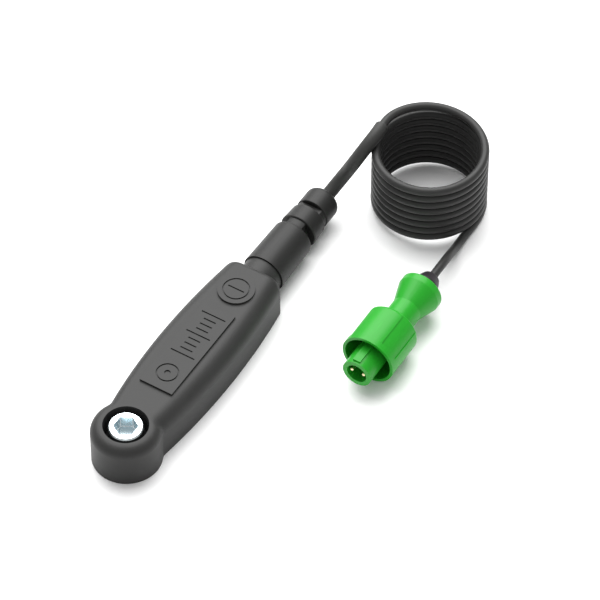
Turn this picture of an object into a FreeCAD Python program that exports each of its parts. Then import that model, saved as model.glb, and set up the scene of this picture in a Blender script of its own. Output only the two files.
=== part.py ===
"""Bolt-on cabled sensor probe with a coiled lead and a two-pin plug.

Frame: millimetres, +Z up. The origin is on the axis of the mounting eye, in
the plane of the flat base. +X runs along the probe from the eye to the cable
outlet, and the base, the coil and the plug all stand on the plane Z = 0.
"""
import FreeCAD
import Part
import Sketcher
import math
import os

Vec = FreeCAD.Vector

# ---------------------------------------------------------------- sizes ----
SIZES = [
    # housing shell
    ("housing_height", 13.7), ("housing_length", 67.6), ("half_width", 11.0),
    ("side_radius", 221.0), ("widest_x", 36.9), ("boss_wall", 3.55),
    ("neck_blend", 3.0), ("corner_radius", 2.5), ("boss_round", 3.1),
    ("top_round", 4.9), ("end_round", 2.2), ("roof", 2.5), ("side_wall", 3.0), ("end_wall", 5.0),
    ("cavity_start", 13.0), ("cavity_round", 2.0),
    # raised pads on the roof
    ("pad_height", 0.65), ("plate_start", 15.2), ("pad_spacing", 3.5),
    ("plate_width", 10.6), ("disc_setback", 10.5), ("disc_radius", 5.4),
    ("engraving", 0.35), ("stroke", 0.45), ("dial_inset", 6.0),
    ("dial_radius", 3.3), ("dot_radius", 0.9), ("mark_margin", 1.4),
    # base cover and its bead of sealant
    ("cover_thickness", 1.6), ("cover_recess", 0.2), ("cover_lap", 1.2),
    ("cover_gap", 0.12), ("bead_height", 0.4), ("bead_width", 0.8),
    # eye: counterbore, compression bush, washer, sleeve nut
    ("counterbore_gap", 1.5), ("seat_height", 6.0), ("bush_wall", 1.82),
    ("barrel_clearance", 0.08), ("washer_rim_gap", 0.35), ("washer_hole_gap", 0.3),
    ("washer_thickness", 1.2), ("head_overhang", 1.0), ("head_height", 6.0),
    ("head_chamfer", 0.4), ("socket_flats", 6.2), ("socket_depth", 4.1),
    ("barrel_radius", 4.0), ("thread_radius", 2.5), ("thread_depth", 7.8),
    # electronics
    ("board_start", 26.0), ("board_room", 4.6), ("board_gap", 1.2),
    ("board_thickness", 1.0), ("board_height", 4.6), ("post_radius", 1.1),
    ("sensor_x", 19.3), ("core_radius", 2.0), ("core_headroom", 1.6),
    ("core_base", 3.0), ("bobbin_wall", 0.7), ("flange_radius", 5.0),
    ("flange_thickness", 0.6), ("winding_radius", 4.7), ("fit_gap", 0.08),
    ("chip_length", 5.0), ("chip_width", 3.9), ("chip_height", 1.5),
    ("lead_width", 0.4), ("lead_rise", 0.35), ("lead_reach", 1.0),
    ("component_length", 1.0), ("component_width", 1.8), ("component_height", 0.8),
    ("capacitor_radius", 2.0), ("capacitor_headroom", 0.8), ("resin_height", 1.8),
    # cable outlet and strain relief boot
    ("axis_height", 6.62), ("collar_radius", 6.0), ("collar_length", 3.9),
    ("spigot_radius", 4.7), ("spigot_length", 11.5), ("ring_section", 0.45),
    ("ring_squeeze", 0.02), ("ring_play", 0.3),
    ("boot_gap", 0.1), ("boot_radius", 6.5), ("boot_taper", 0.35),
    ("barrel_length", 16.4), ("link_slot_width", 2.5), ("tip_slot_width", 1.9),
    ("slot_core", 3.4),
    ("link_web_radius", 5.3), ("link_web_width", 5.0), ("link_radius", 5.85),
    ("link_taper", 0.4), ("link_length", 5.9), ("tip_web_radius", 4.85),
    ("tip_web_width", 7.0), ("tip_radius", 5.2), ("tip_length", 7.1),
    ("tip_round", 2.0), ("boot_edge", 0.8), ("link_edge", 0.4),
    ("tip_edge", 0.25), ("mouth_flare", 1.0), ("mouth_depth", 5.0),
    # cable
    ("cable_diameter", 2.6), ("sleeve_diameter", 4.1), ("sleeve_clearance", 0.05),
    ("sleeve_setback", 0.8),
    ("cable_clearance", 0.2), ("conductor_radius", 0.45), ("cable_setback", 0.6),
    ("crimp_length", 2.6), ("crimp_wall", 0.7),
    # coil
    ("coil_x", 124.88), ("coil_y", -23.77), ("coil_radius", 15.78),
    ("coil_turns", 8.5), ("coil_pitch", 2.7),
    # plug
    ("plug_y", -42.5), ("nose_x", 52.7), ("nose_radius", 4.5),
    ("nose_length", 16.6), ("recess_radius", 3.1), ("recess_depth", 6.5),
    ("key_width", 2.3), ("key_height", 0.45), ("key_setback", 0.6),
    ("key_shift", 0.4), ("key_room", 0.25),
    ("pin_radius", 0.6), ("pin_spacing", 3.85), ("pin_setback", 0.45),
    ("pin_shank", 0.75), ("pin_length", 17.45), ("ring_x", 58.7), ("ring_radius", 8.2),
    ("ring_wall", 0.9), ("ring_length", 14.4), ("ring_back", 1.6),
    ("ring_edge", 1.4), ("ring_clearance", 0.3), ("panel_depth", 0.25),
    ("panel_margin", 1.9), ("panel_angle", 45.8),
    ("neck_radius", 4.5), ("neck_bore", 3.2),
    ("flare_start", 80.3), ("flare_end", 89.0), ("flare_radius", 6.5),
    ("flare_rim", 2.3), ("flare_edge", 0.35), ("clip_width", 1.0),
    ("clip_play", 1.1), ("gasket_width", 1.4), ("gasket_play", 0.85),
    ("grommet_radius", 3.9), ("grommet_shoulder", 2.0), ("grommet_proud", 5.4),
    ("grommet_end_radius", 2.5), ("grommet_depth", 4.2), ("grommet_round", 0.8),
]

doc = FreeCAD.newDocument("cabled_probe")
sheet = doc.addObject("Spreadsheet::Sheet", "dims")
for row, (alias, value) in enumerate(SIZES, start=1):
    sheet.set(f"A{row}", alias)
    sheet.set(f"B{row}", str(value))
    sheet.setAlias(f"B{row}", alias)
doc.recompute()


def size(text):
    """The value of an expression over the sheet's cells, in millimetres."""
    return float(sheet.evalExpression(text))


# -------------------------------------------------------------- helpers ----
AXES = {
    "X": FreeCAD.Rotation(Vec(0, 1, 0), 90),
    "Y": FreeCAD.Rotation(Vec(1, 0, 0), -90),
    "Z": FreeCAD.Rotation(),
}


def bind(item, **expressions):
    for prop, text in expressions.items():
        item.setExpression(prop, text)
    return item


def move(item, x="0", y="0", z="0", axis="Z"):
    """Point the item along an axis and tie its place to the sheet."""
    item.Placement = FreeCAD.Placement(Vec(), AXES[axis])
    for letter, text in zip("xyz", (x, y, z)):
        item.setExpression(f".Placement.Base.{letter}", text)
    return item


def cylinder(name, radius, length, x="0", y="0", z="0", axis="Z"):
    item = doc.addObject("Part::Cylinder", name)
    bind(item, Radius=radius, Height=length)
    return move(item, x, y, z, axis)


def block(name, x0, x1, y0, y1, z0, z1):
    """A box between two corners, each side tied to the sheet."""
    item = doc.addObject("Part::Box", name)
    bind(item, Length=f"({x1}) - ({x0})", Width=f"({y1}) - ({y0})",
         Height=f"({z1}) - ({z0})")
    return move(item, x0, y0, z0)


def cut(name, base, *tools):
    """The base less its tools, which are joined first."""
    item = doc.addObject("Part::Cut", name)
    item.Base = base
    item.Tool = tools[0] if len(tools) == 1 else fuse(f"{name}_tools", *tools)
    return item


def fuse(name, *parts):
    item = doc.addObject("Part::MultiFuse", name)
    item.Shapes = list(parts)
    return item


def tube(name, outer, inner, start, end, y="0", z="0", axis="X"):
    """A plain tube along X, or along Z from one height to another."""
    length = f"({end}) - ({start})"
    x_out, z_out = (start, z) if axis == "X" else ("0", start)
    body = cylinder(f"{name}_outer", outer, length, x_out, y, z_out, axis)
    x_in, z_in = (f"{start} - 1", z) if axis == "X" else ("0", f"{start} - 1")
    hole = cylinder(f"{name}_hole", inner, f"{length} + 2", x_in, y, z_in, axis)
    return cut(name, body, hole)


def fillet(name, base, choose, radius):
    """Round the edges that choose() picks, at one radius or (first, last)."""
    doc.recompute()
    item = doc.addObject("Part::Fillet", name)
    item.Base = base
    picked = []
    for number, edge in enumerate(base.Shape.Edges, start=1):
        if choose(edge):
            pair = radius(edge) if callable(radius) else (size(radius),) * 2
            picked.append((number, *pair))
    if not picked:
        raise RuntimeError(f"{name}: no edge was found to round")
    item.Edges = picked
    return item


def upright(edge):
    box = edge.BoundBox
    return box.XLength < 1e-4 and box.YLength < 1e-4 and box.ZLength > 0.1


def level_at(edge, height):
    box = edge.BoundBox
    return box.ZLength < 1e-4 and abs(box.ZMin - height) < 1e-4


def outline(sketch, points):
    """A closed run of straight lines through points tied to the sheet."""
    spots = [Vec(size(u), size(v), 0) for u, v in points]
    count = len(spots)
    for index in range(count):
        sketch.addGeometry(Part.LineSegment(spots[index], spots[(index + 1) % count]))
    for index in range(count):
        following = (index + 1) % count
        sketch.addConstraint(Sketcher.Constraint("Coincident", index, 2, following, 1))
    for index, (u, v) in enumerate(points):
        for kind, text in (("DistanceX", u), ("DistanceY", v)):
            rule = Sketcher.Constraint(kind, -1, 1, index, 1, size(text))
            number = sketch.addConstraint(rule)
            sketch.setExpression(f"Constraints[{number}]", text)


def origin_plane(body, role):
    return next(f for f in body.Origin.OriginFeatures if f.Role == role)


def new_sketch(body, name, role, points, lift=None):
    sketch = body.newObject("Sketcher::SketchObject", name)
    sketch.AttachmentSupport = (origin_plane(body, role), [""])
    sketch.MapMode = "FlatFace"
    if lift:
        sketch.setExpression(".AttachmentOffset.Base.z", lift)
    outline(sketch, points)
    return sketch


def turned(name, points, axis="X", y="0", z="0", x="0"):
    """A body turned from a half section: (along, radius) for X, (radius, up) for Z."""
    body = doc.addObject("PartDesign::Body", name)
    sketch = new_sketch(body, f"{name}_section", "XZ_Plane", points)
    turn = body.newObject("PartDesign::Revolution", f"{name}_turn")
    turn.Profile = sketch
    turn.ReferenceAxis = (sketch, ["H_Axis" if axis == "X" else "V_Axis"])
    turn.Angle = 360.0
    sketch.Visibility = False
    return move(body, x, y, z)


def soften(body, choose, radius, kind="Fillet"):
    """Round or chamfer the body's edges that choose() picks."""
    doc.recompute()
    base = body.Tip
    names = [f"Edge{n}" for n, e in enumerate(base.Shape.Edges, 1) if choose(e)]
    if not names:
        raise RuntimeError(f"{body.Name}: no edge was found to soften")
    feature = body.newObject(f"PartDesign::{kind}", f"{body.Name}_{kind.lower()}")
    feature.Base = (base, names)
    feature.setExpression("Radius" if kind == "Fillet" else "Size", radius)
    body.Tip = feature
    return body


def ring_at(x, radius):
    """Picks the round edges at a place along X with the given radius."""
    def test(edge):
        box = edge.BoundBox
        flat = box.XLength < 1e-4 and abs(box.XMin - x) < 1e-3
        return flat and abs(box.YLength / 2 - radius) < 1e-3
    return test


# -------------------------------------------------------- cable routing ----
# Control points of the free cable. The first stretch rises from the boot to
# the top turn of the coil; the second leaves the bottom turn for the plug.
LEAD_ROUTE = [
    Vec(99.3, 0.0, 6.62), Vec(103.14, 0.0, 6.62), Vec(107.33, -0.63, 7.99),
    Vec(110.43, -1.86, 10.64), Vec(112.13, -3.52, 14.19), Vec(112.26, -5.68, 19.01),
    Vec(115.21, -7.67, 23.7), Vec(120.42, -8.73, 26.2), Vec(126.39, -8.1, 26.01),
]
TAIL_ROUTE = [
    Vec(124.9, -39.55, 1.3), Vec(118.4, -39.6, 1.3), Vec(112.0, -40.2, 2.4),
    Vec(105.7, -41.7, 6.3), Vec(99.5, -42.5, 8.2), Vec(92.5, -42.5, 8.2),
]


def run_and_arc_path(points):
    """Straight runs joined by tangent arcs, with the radius of each arc."""
    edges, radii = [], []
    start = points[0]
    for before, corner, after in zip(points, points[1:], points[2:]):
        one, two = corner - before, after - corner
        half_turn = one.getAngle(two) / 2
        reach = 0.45 * min(one.Length, two.Length)
        leave = corner - Vec(one).normalize() * reach
        join = corner + Vec(two).normalize() * reach
        to_centre = (leave + join) * 0.5 - corner
        radius = reach / math.tan(half_turn)
        sag = radius / math.cos(half_turn) - radius
        middle = corner + Vec(to_centre).normalize() * sag
        edges.append(Part.LineSegment(start, leave).toShape())
        edges.append(Part.Arc(leave, middle, join).toShape())
        radii.append(radius)
        start = join
    edges.append(Part.LineSegment(start, points[-1]).toShape())
    return edges, radii


def swept(edges, radius):
    """A round bar along joined edges, checked against section times length."""
    path = Part.Wire(edges)
    heading = edges[0].tangentAt(edges[0].FirstParameter)
    spot = edges[0].valueAt(edges[0].FirstParameter)
    section = Part.Wire([Part.makeCircle(radius, spot, heading)])
    bar = path.makePipeShell([section], True, False)
    expected = math.pi * radius ** 2 * path.Length
    if abs(bar.Volume - expected) > 0.02 * expected:
        raise RuntimeError(f"swept volume {bar.Volume:.1f}, expected {expected:.1f}")
    return bar


def shaped(name, shape):
    item = doc.addObject("Part::Feature", name)
    item.Shape = shape
    item.Placement = FreeCAD.Placement()
    return item


# -------------------------------------------------------------- housing ----
AXIS = "dims.axis_height"
CABLE = "dims.cable_diameter / 2"
HEAD_RADIUS = "dims.barrel_radius + dims.head_overhang"
COUNTERBORE = f"{HEAD_RADIUS} + dims.counterbore_gap"
BOSS_RADIUS = f"{COUNTERBORE} + dims.boss_wall"
BUSH_BORE = "dims.barrel_radius + dims.barrel_clearance"
BUSH_RADIUS = f"{BUSH_BORE} + dims.bush_wall"
CAVITY_TOP = "dims.housing_height - dims.roof"
CAVITY_END = "dims.housing_length - dims.end_wall"
CAVITY_HALF = "dims.half_width - dims.side_wall"
PAD_TOP = "dims.housing_height + dims.pad_height"
DISC_X = "(dims.housing_length - dims.disc_setback)"
PLATE_END = f"{DISC_X} - dims.disc_radius - dims.pad_spacing"
COVER_TOP = "dims.cover_recess + dims.cover_thickness"
REBATE_TOP = f"{COVER_TOP} + dims.bead_height"
BOOT_START = "dims.housing_length + dims.collar_length + dims.boot_gap"
SPIGOT_END = f"{BOOT_START} + dims.spigot_length"
SOCKET_RADIUS = "dims.spigot_radius + dims.boot_gap"
GROOVE_RADIUS = f"{SOCKET_RADIUS} - dims.ring_squeeze - 2 * dims.ring_section"
GROOVE_START = f"{BOOT_START} + dims.spigot_length * 0.43"
GROOVE_END = f"{GROOVE_START} + 2 * dims.ring_section + dims.ring_play"
SCALE_MARKS = 9


def housing_hull():
    """Lens-shaped block joined to the round eye, with all outer edges rounded."""
    offset = "dims.side_radius - dims.half_width"
    near = cylinder("side_near", "dims.side_radius", "dims.housing_height",
                    "dims.widest_x", offset)
    far = cylinder("side_far", "dims.side_radius", "dims.housing_height",
                   "dims.widest_x", f"-({offset})")
    slab = block("hull_slab", "0", "dims.housing_length + 2 * dims.top_round",
                 "-dims.half_width - 1", "dims.half_width + 1", "0", "dims.housing_height")
    lens = doc.addObject("Part::MultiCommon", "hull_lens")
    lens.Shapes = [near, far, slab]
    eye = cylinder("eye_boss", BOSS_RADIUS, "dims.housing_height")
    raw = fuse("hull_raw", lens, eye)
    raw.Refine = True

    def at_neck(edge):
        return upright(edge) and 0 < edge.BoundBox.XMin < size(BOSS_RADIUS)

    def at_corner(edge):
        return upright(edge) and edge.BoundBox.XMin > end

    top, end = size("dims.housing_height"), size("dims.housing_length")
    necked = fillet("hull_necked", raw, at_neck, "dims.neck_blend")
    cornered = fillet("hull_cornered", necked, at_corner, "dims.corner_radius")
    eye_round, body_round = size("dims.boss_round"), size("dims.top_round")

    def edge_round(edge):
        spot = edge.CenterOfMass.x
        if spot < 0:
            return (eye_round, eye_round)
        if spot > size(BOSS_RADIUS):
            return (body_round, body_round)
        rising = edge.Vertexes[0].Point.x < edge.Vertexes[-1].Point.x
        return (eye_round, body_round) if rising else (body_round, eye_round)

    long_hull = fillet("hull_long", cornered, lambda e: level_at(e, top), edge_round)
    beyond = block("hull_beyond", "dims.housing_length",
                   "dims.housing_length + 3 * dims.top_round", "-dims.half_width - 2",
                   "dims.half_width + 2", "-1", "dims.housing_height + 1")
    sliced = cut("hull_sliced", long_hull, beyond)

    def on_end_face(edge):
        box = edge.BoundBox
        return box.XLength < 1e-3 and abs(box.XMin - end) < 1e-3 and box.ZMax > 0.1

    return fillet("hull_rounded", sliced, on_end_face, "dims.end_round")


def roof_pads():
    """Raised plate and disc on the roof, with graduation marks cut in them."""
    half = "dims.plate_width / 2"
    dial = "(dims.plate_start + dims.dial_inset)"
    plate = block("pad_plate", "dims.plate_start", PLATE_END, f"-{half}", half,
                  "dims.housing_height - 1", PAD_TOP)
    disc = cylinder("pad_disc", "dims.disc_radius", "dims.pad_height + 1",
                    DISC_X, "0", "dims.housing_height - 1")
    floor = f"{PAD_TOP} - dims.engraving"
    above = f"{PAD_TOP} + 1"
    marks = []
    for number in range(SCALE_MARKS):
        full = f"({half} - dims.mark_margin)"
        reach = full if number % 4 == 0 else f"{full} / 2"
        left = f"{dial} + ({PLATE_END} - {dial}) * {0.28 + 0.075 * number:.3f}"
        marks.append(block(f"scale_mark_{number}", left, f"{left} + dims.stroke",
                           f"-{reach}", reach, floor, above))
    for label, centre, radius in (("plate", dial, "dims.dial_radius"),
                                  ("disc", DISC_X, "dims.disc_radius - dims.mark_margin")):
        outer = cylinder(f"{label}_mark_outer", radius, "2", centre, "0", floor)
        inner = cylinder(f"{label}_mark_inner", f"{radius} - dims.stroke", "4",
                         centre, "0", f"{floor} - 1")
        marks.append(cut(f"{label}_mark", outer, inner))
    bar = "dims.disc_radius - 2 * dims.mark_margin"
    marks.append(block("disc_bar", f"{DISC_X} - dims.stroke / 2",
                       f"{DISC_X} + dims.stroke / 2", f"-({bar})", bar, floor, above))
    marks.append(cylinder("plate_dot", "dims.dot_radius", "2", dial, "0", floor))
    return [plate, disc], marks


def upper_housing():
    hull = housing_hull()
    pads, marks = roof_pads()
    collar = cylinder("outlet_collar", "dims.collar_radius",
                      "dims.collar_length + dims.end_wall / 2",
                      "dims.housing_length - dims.end_wall / 2", "0", AXIS, "X")
    spigot = cylinder("outlet_spigot", "dims.spigot_radius",
                      f"{SPIGOT_END} - dims.housing_length",
                      "dims.housing_length", "0", AXIS, "X")
    cavity = block("cavity", "dims.cavity_start", CAVITY_END, f"-({CAVITY_HALF})",
                   CAVITY_HALF, "-1", CAVITY_TOP)
    hollow = fillet("cavity_rounded", cavity, upright, "dims.cavity_round")
    lap = "dims.cover_lap"
    rebate = block("cover_rebate", f"dims.cavity_start - {lap}", f"{CAVITY_END} + {lap}",
                   f"-({CAVITY_HALF} + {lap})", f"{CAVITY_HALF} + {lap}", "-1", REBATE_TOP)
    ledge = fillet("rebate_rounded", rebate, upright, "dims.cavity_round + dims.cover_lap")
    counterbore = cylinder("counterbore", COUNTERBORE,
                           "dims.housing_height", z="dims.seat_height")
    eye = cylinder("eye_bore", BUSH_RADIUS, "dims.housing_height", z="-1")
    outlet = cylinder("outlet_bore", f"{CABLE} + dims.cable_clearance",
                      f"{SPIGOT_END} - ({CAVITY_END}) + 2", f"{CAVITY_END} - 1", "0",
                      AXIS, "X")
    groove = tube("ring_groove", "dims.spigot_radius + 1",
                  GROOVE_RADIUS, GROOVE_START, GROOVE_END, "0", AXIS)
    solid = fuse("housing_solid", hull, collar, spigot, *pads)
    shell = cut("housing_shell", solid, hollow, ledge, counterbore, eye, outlet,
                groove, *marks)
    posts = []
    for number, (along, side) in enumerate(((0.06, 1), (0.06, -1), (0.94, 1), (0.94, -1))):
        x = f"dims.board_start + {BOARD_LENGTH} * {along}"
        y = f"{side} * ({BOARD_HALF} - dims.post_radius)"
        posts.append(cylinder(f"board_post_{number}", "dims.post_radius",
                              f"{CAVITY_TOP} + 0.5 - ({BOARD_TOP})", x, y, BOARD_TOP))
    return fuse("upper_housing", shell, *posts)


def base_cover():
    gap = "dims.cover_lap - dims.cover_gap"
    plate = block("cover_plate", f"dims.cavity_start - ({gap})", f"{CAVITY_END} + {gap}",
                  f"-({CAVITY_HALF} + {gap})", f"{CAVITY_HALF} + {gap}",
                  "dims.cover_recess", COVER_TOP)
    radius = "dims.cavity_round + dims.cover_lap - dims.cover_gap"
    return fillet("base_cover", plate, upright, radius)


def cover_seal():
    """Bead of sealant on the ledge, a little narrower than the ledge."""
    inset = "dims.cover_lap - dims.cover_gap * 2"
    outer = block("bead_outer", f"dims.cavity_start - ({inset})", f"{CAVITY_END} + {inset}",
                  f"-({CAVITY_HALF} + {inset})", f"{CAVITY_HALF} + {inset}",
                  COVER_TOP, REBATE_TOP)
    rounded = fillet("bead_rounded", outer, upright,
                     "dims.cavity_round + dims.cover_lap - dims.cover_gap * 2")
    back = f"{inset} - dims.bead_width"
    inner = block("bead_inner", f"dims.cavity_start - ({back})", f"{CAVITY_END} + {back}",
                  f"-({CAVITY_HALF} + {back})", f"{CAVITY_HALF} + {back}",
                  f"{COVER_TOP} - 1", f"{REBATE_TOP} + 1")
    window = fillet("bead_window", inner, upright, "dims.cavity_round")
    return cut("cover_seal", rounded, window)


# ------------------------------------------------------------ fastening ----
def compression_bush():
    return tube("compression_bush", BUSH_RADIUS, BUSH_BORE, "0", "dims.seat_height",
                axis="Z")


def washer():
    return tube("washer", f"{COUNTERBORE} - dims.washer_rim_gap",
                "dims.barrel_radius + dims.washer_hole_gap", "dims.seat_height",
                HEAD_BASE, axis="Z")


HEAD_BASE = "dims.seat_height + dims.washer_thickness"
HEAD_TOP = f"{HEAD_BASE} + dims.head_height"


def sleeve_nut():
    """Round head with a hexagon socket over a barrel that is threaded inside."""
    body = turned("sleeve_nut", [
        ("dims.thread_radius", "0"),
        ("dims.barrel_radius", "0"),
        ("dims.barrel_radius", HEAD_BASE),
        (HEAD_RADIUS, HEAD_BASE),
        (HEAD_RADIUS, HEAD_TOP),
        ("0", HEAD_TOP),
        ("0", "dims.thread_depth"),
        ("dims.thread_radius", "dims.thread_depth"),
    ], axis="Z")
    top, edge_radius = size(HEAD_TOP), size(HEAD_RADIUS)
    soften(body, lambda e: level_at(e, top) and abs(e.BoundBox.XLength / 2 - edge_radius) < 1e-3,
           "dims.head_chamfer", "Chamfer")
    corner = "dims.socket_flats / sqrt(3)"
    hexagon = [(f"{corner} * cos({60 * n} deg)", f"{corner} * sin({60 * n} deg)")
               for n in range(6)]
    sketch = new_sketch(body, "socket_outline", "XY_Plane", hexagon, HEAD_TOP)
    doc.recompute()
    before = body.Tip.Shape.Volume
    socket = body.newObject("PartDesign::Pocket", "socket")
    socket.Profile = sketch
    socket.setExpression("Length", "dims.socket_depth")
    body.Tip = socket
    doc.recompute()
    area = size("dims.socket_flats") ** 2 * math.sqrt(3) / 2
    if before - socket.Shape.Volume < 0.9 * area * size("dims.socket_depth"):
        raise RuntimeError("the hexagon socket cut nothing")
    return body


# ---------------------------------------------------------- electronics ----
BOARD_TOP = "dims.board_height + dims.board_thickness"
BOARD_END = f"({CAVITY_END} - dims.board_room)"
BOARD_LENGTH = f"({BOARD_END} - dims.board_start)"
BOARD_HALF = f"({CAVITY_HALF} - dims.board_gap)"
CORE_TOP = f"{CAVITY_TOP} - dims.core_headroom"
# Places on the board as shares of its length and half width.
COMPONENT_SPOTS = [(0.12, -0.44), (0.12, 0.44), (0.2, 0.0),
                   (0.56, -0.64), (0.62, 0.62), (0.68, -0.64)]


def sensing_element():
    """Ferrite core, flanged bobbin and its winding, upright over the base."""
    core = cylinder("ferrite_core", "dims.core_radius", f"{CORE_TOP} - dims.core_base",
                    "dims.sensor_x", "0", "dims.core_base")
    bore = "dims.core_radius + dims.fit_gap"
    barrel = f"{bore} + dims.bobbin_wall"
    bobbin = turned("coil_bobbin", [
        (bore, "dims.core_base"), ("dims.flange_radius", "dims.core_base"),
        ("dims.flange_radius", "dims.core_base + dims.flange_thickness"),
        (barrel, "dims.core_base + dims.flange_thickness"),
        (barrel, f"{CORE_TOP} - dims.flange_thickness"),
        ("dims.flange_radius", f"{CORE_TOP} - dims.flange_thickness"),
        ("dims.flange_radius", CORE_TOP), (bore, CORE_TOP),
    ], axis="Z", x="dims.sensor_x")
    low = "dims.core_base + dims.flange_thickness + dims.fit_gap"
    high = f"{CORE_TOP} - dims.flange_thickness - dims.fit_gap"
    winding = tube("sensing_winding", "dims.winding_radius", f"{barrel} + dims.fit_gap",
                   low, high, axis="Z")
    move(winding, "dims.sensor_x")
    return core, bobbin, winding


def circuit_board():
    return block("circuit_board", "dims.board_start", BOARD_END, f"-{BOARD_HALF}",
                 BOARD_HALF, "dims.board_height", BOARD_TOP)


def amplifier_chip():
    """Eight-lead package, standing on its gull-wing leads."""
    x = f"dims.board_start + {BOARD_LENGTH} * 0.3"
    shoulder = f"{BOARD_TOP} + dims.lead_rise"
    case = block("chip_case", x, f"{x} + dims.chip_length", "-dims.chip_width / 2",
                 "dims.chip_width / 2", shoulder, f"{BOARD_TOP} + dims.chip_height")
    leads = []
    side = "(dims.chip_width / 2 + dims.lead_reach)"
    for number in range(4):
        left = f"{x} + dims.chip_length * {2 * number + 1} / 8 - dims.lead_width / 2"
        leads.append(block(f"chip_lead_{number}", left, f"{left} + dims.lead_width",
                           f"-{side}", side, BOARD_TOP, f"{shoulder} + 0.1"))
    return fuse("amplifier_chip", case, *leads)


def surface_components():
    """Six small resistors and capacitors soldered on the board."""
    parts = []
    for number, (along, across) in enumerate(COMPONENT_SPOTS):
        x = f"dims.board_start + {BOARD_LENGTH} * {along}"
        y = f"{BOARD_HALF} * {across}"
        parts.append(block(f"component_{number}", x, f"{x} + dims.component_length",
                           f"{y} - dims.component_width / 2",
                           f"{y} + dims.component_width / 2",
                           BOARD_TOP, f"{BOARD_TOP} + dims.component_height"))
    group = doc.addObject("Part::Compound", "surface_components")
    group.Links = parts
    return group


def filter_capacitor():
    height = f"{CAVITY_TOP} - dims.capacitor_headroom - ({BOARD_TOP})"
    return cylinder("filter_capacitor", "dims.capacitor_radius", height,
                    f"dims.board_start + {BOARD_LENGTH} * 0.65", "0", BOARD_TOP)


def potting_fill():
    """Layer of resin poured between the cover and the board."""
    gap = "dims.fit_gap"
    return block("potting_fill", "dims.board_start", f"{CAVITY_END} - dims.cavity_round",
                 f"-({CAVITY_HALF}) + {gap}", f"{CAVITY_HALF} - {gap}",
                 f"{REBATE_TOP} + {gap}", f"{REBATE_TOP} + dims.resin_height")


# --------------------------------------------------- cable in the probe ----
CABLE_INNER_START = f"{BOARD_END} + dims.cable_setback"
ROUTE_START = LEAD_ROUTE[0].x
SLEEVE_START = f"{SPIGOT_END} + dims.sleeve_setback"
SLEEVE_SHARE = 0.67
WIRE_SPLIT = 0.6


def inner_cable():
    """The cable from the board through the outlet to the free lead."""
    return cylinder("inner_cable", CABLE, f"{ROUTE_START} - ({CABLE_INNER_START})",
                    CABLE_INNER_START, "0", AXIS, "X")


def crimp_band(name, x, y, z):
    """Metal band squeezed on the cable, which stops it being pulled out."""
    return tube(name, f"{CABLE} + dims.crimp_wall", CABLE, x, f"{x} + dims.crimp_length", y, z)


def board_wire(name, side):
    """Conductor from the cable's end down to a pad on the board."""
    start = Vec(size(CABLE_INNER_START), side * WIRE_SPLIT, size(AXIS))
    radius = size("dims.conductor_radius")
    spread = start + Vec(-2.6, side * 0.9, -0.25)
    pad = Vec(start.x - 5.6, side * 2.9, size(BOARD_TOP) + radius)
    edges, _ = run_and_arc_path([start, spread, pad])
    return shaped(name, swept(edges, radius))


def spigot_seal():
    middle = f"({GROOVE_START} + {GROOVE_END}) / 2"
    ring = doc.addObject("Part::Torus", "spigot_seal")
    bind(ring, Radius1=f"{GROOVE_RADIUS} + dims.ring_section", Radius2="dims.ring_section")
    return move(ring, middle, "0", AXIS, "X")


def strain_relief_boot():
    """Moulded boot: barrel, link and round-ended tip, parted by webbed slots."""
    bore = "dims.sleeve_diameter / 2 + dims.boot_gap"
    barrel_end = f"{BOOT_START} + dims.barrel_length"
    link = f"{barrel_end} + dims.link_slot_width"
    link_end = f"{link} + dims.link_length"
    tip = f"{link_end} + dims.tip_slot_width"
    end = f"{tip} + dims.tip_length"
    end_radius = "dims.boot_radius - dims.boot_taper"
    body = turned("boot_body", [
        (BOOT_START, SOCKET_RADIUS), (BOOT_START, "dims.boot_radius"),
        (barrel_end, end_radius), (barrel_end, "dims.link_web_radius"),
        (link, "dims.link_web_radius"), (link, "dims.link_radius"),
        (link_end, "dims.link_radius - dims.link_taper"), (link_end, "dims.tip_web_radius"),
        (tip, "dims.tip_web_radius"), (tip, "dims.tip_radius"),
        (end, "dims.tip_radius"), (end, f"{bore} + dims.mouth_flare"),
        (f"{end} - dims.mouth_depth", bore), (f"{SPIGOT_END} + dims.boot_gap", bore),
        (f"{SPIGOT_END} + dims.boot_gap", SOCKET_RADIUS),
    ], z=AXIS)
    for place, radius, rounding in (
            (barrel_end, end_radius, "dims.boot_edge"),
            (link, "dims.link_radius", "dims.link_edge"),
            (link_end, "dims.link_radius - dims.link_taper", "dims.link_edge"),
            (tip, "dims.tip_radius", "dims.tip_edge"),
            (end, "dims.tip_radius", "dims.tip_round")):
        soften(body, ring_at(size(place), size(radius)), rounding)
    slots = [slot_sides("link_slot", barrel_end, link, "dims.link_web_width / 2", upright_web),
             slot_sides("tip_slot", link_end, tip, "dims.tip_web_width / 2", level_web)]
    return cut("strain_relief_boot", body, *slots)


def upright_web(name, start, end, half):
    """Slab that keeps the top and bottom of a slot closed."""
    reach = "dims.boot_radius + 2"
    return block(name, f"{start} - 1", f"{end} + 1", f"-({half})", half,
                 f"{AXIS} - ({reach})", f"{AXIS} + {reach}")


def level_web(name, start, end, half):
    """Slab that keeps the two flanks of a slot closed."""
    reach = "dims.boot_radius + 2"
    return block(name, f"{start} - 1", f"{end} + 1", f"-({reach})", reach,
                 f"{AXIS} - ({half})", f"{AXIS} + {half}")


def slot_sides(name, start, end, half, web):
    """The two open sides of a slot round the boot, on either side of its web."""
    ring = tube(f"{name}_ring", "dims.boot_radius + 1", "dims.slot_core", start, end,
                "0", AXIS)
    return cut(name, ring, web(f"{name}_web", start, end, half))


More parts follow.
